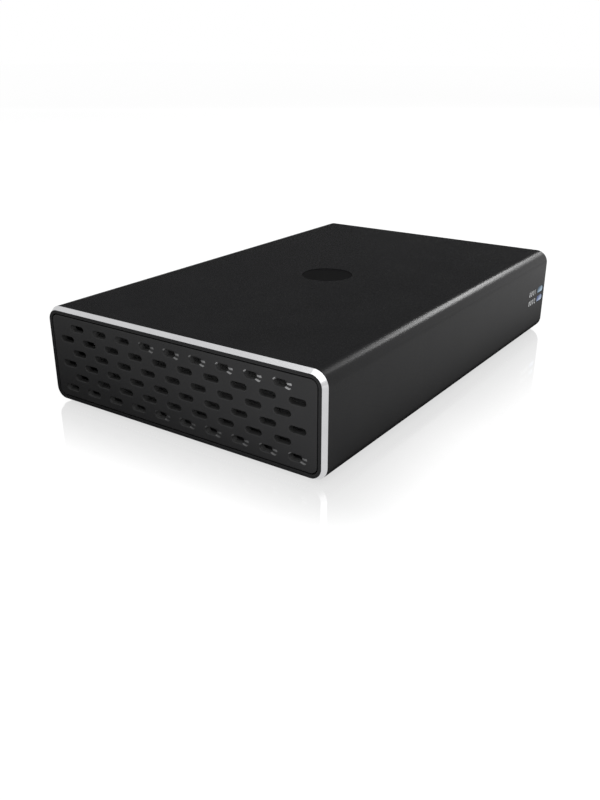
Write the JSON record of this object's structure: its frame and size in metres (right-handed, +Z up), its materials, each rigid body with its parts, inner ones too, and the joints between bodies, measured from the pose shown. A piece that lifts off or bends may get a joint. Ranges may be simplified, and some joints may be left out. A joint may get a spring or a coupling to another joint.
{
  "type": "network drive enclosure",
  "caption": "Flat black aluminium drive enclosure with a slotted front grille, bright-cut front edge, lit side windows and a slide-out drive tray with rear sockets and switches",
  "frame": {"origin": "on the floor under the middle of the enclosure's box", "axes": "+X is the side with the light windows, -Y is the grille front, +Y the socket rear, +Z up"},
  "size_m": [0.0876, 0.137, 0.0269],
  "materials": {
    "sleeve_metal": "black anodised, fine blasted, bright-cut at both ends",
    "panel_plastic": "fine moulded texture",
    "window_lens": "clear, lit from behind",
    "foot_rubber": "matt",
    "sheet_steel": "zinc coated",
    "painted_sheet": "black powder coat",
    "black_screw": "black oxide",
    "zinc_screw": "zinc plated",
    "drive_casting": "die cast",
    "drive_cover": "bright sheet",
    "circuit_board": "solder mask",
    "connector_plastic": "moulded",
    "chip_epoxy": "moulded",
    "can_metal": "drawn can",
    "socket_steel": "nickel plated",
    "led_lens": "clear tinted",
    "switch_plastic": "moulded"
  },
  "bodies": {
    "sleeve": {"sleeve": "sleeve_metal", "front_panel": "panel_plastic", "light_pipe_1": "window_lens", "light_pipe_2": "window_lens", "foot_1": "foot_rubber", "foot_2": "foot_rubber", "foot_3": "foot_rubber", "foot_4": "foot_rubber"},
    "tray": {"tray": "sheet_steel", "rear_panel": "painted_sheet", "rear_screw_1": "black_screw", "rear_screw_2": "black_screw", "rear_screw_3": "black_screw", "rear_screw_4": "black_screw", "tab_screw_1": "black_screw", "tab_screw_2": "black_screw", "drive_1_base": "drive_casting", "drive_1_cover": "drive_cover", "drive_1_board": "circuit_board", "drive_1_plug": "connector_plastic", "drive_2_base": "drive_casting", "drive_2_cover": "drive_cover", "drive_2_board": "circuit_board", "drive_2_plug": "connector_plastic", "drive_screw_1": "zinc_screw", "drive_screw_2": "zinc_screw", "drive_screw_3": "zinc_screw", "drive_screw_4": "zinc_screw", "drive_screw_5": "zinc_screw", "drive_screw_6": "zinc_screw", "drive_screw_7": "zinc_screw", "drive_screw_8": "zinc_screw", "backplane_board": "circuit_board", "sata_socket_1": "connector_plastic", "sata_socket_2": "connector_plastic", "main_board": "circuit_board", "board_screw_1": "zinc_screw", "board_screw_2": "zinc_screw", "bridge_chip": "chip_epoxy", "board_link": "connector_plastic", "capacitor_1": "can_metal", "capacitor_2": "can_metal", "lan_socket": "socket_steel", "usb_shell": "socket_steel", "usb_tongue": "connector_plastic", "jack_body": "connector_plastic", "jack_pin": "zinc_screw", "power_switch": "connector_plastic", "mode_switch": "connector_plastic", "button_switch": "connector_plastic", "led_holder": "connector_plastic", "led_1": "led_lens", "led_2": "led_lens"},
    "power_slider": {"power_slider": "switch_plastic"},
    "mode_slider_1": {"mode_slider_1": "switch_plastic"},
    "mode_slider_2": {"mode_slider_2": "switch_plastic"},
    "set_button": {"set_button": "switch_plastic"}
  },
  "joints": [
    {"name": "tray_slide", "type": "slide", "parent": "sleeve", "child": "tray", "axis": [0, 1, 0], "range_m": [0, 0.135]},
    {"name": "power_slide", "type": "slide", "parent": "tray", "child": "power_slider", "axis": [1, 0, 0], "range_m": [0, 0.002]},
    {"name": "mode_1_slide", "type": "slide", "parent": "tray", "child": "mode_slider_1", "axis": [0, 0, 1], "range_m": [0, 0.0015]},
    {"name": "mode_2_slide", "type": "slide", "parent": "tray", "child": "mode_slider_2", "axis": [0, 0, 1], "range_m": [0, 0.0015]},
    {"name": "set_press", "type": "slide", "parent": "tray", "child": "set_button", "axis": [0, -1, 0], "range_m": [0, 0.0008], "stiffness_N_per_m": 600, "springref_m": -0.0005}
  ]
}
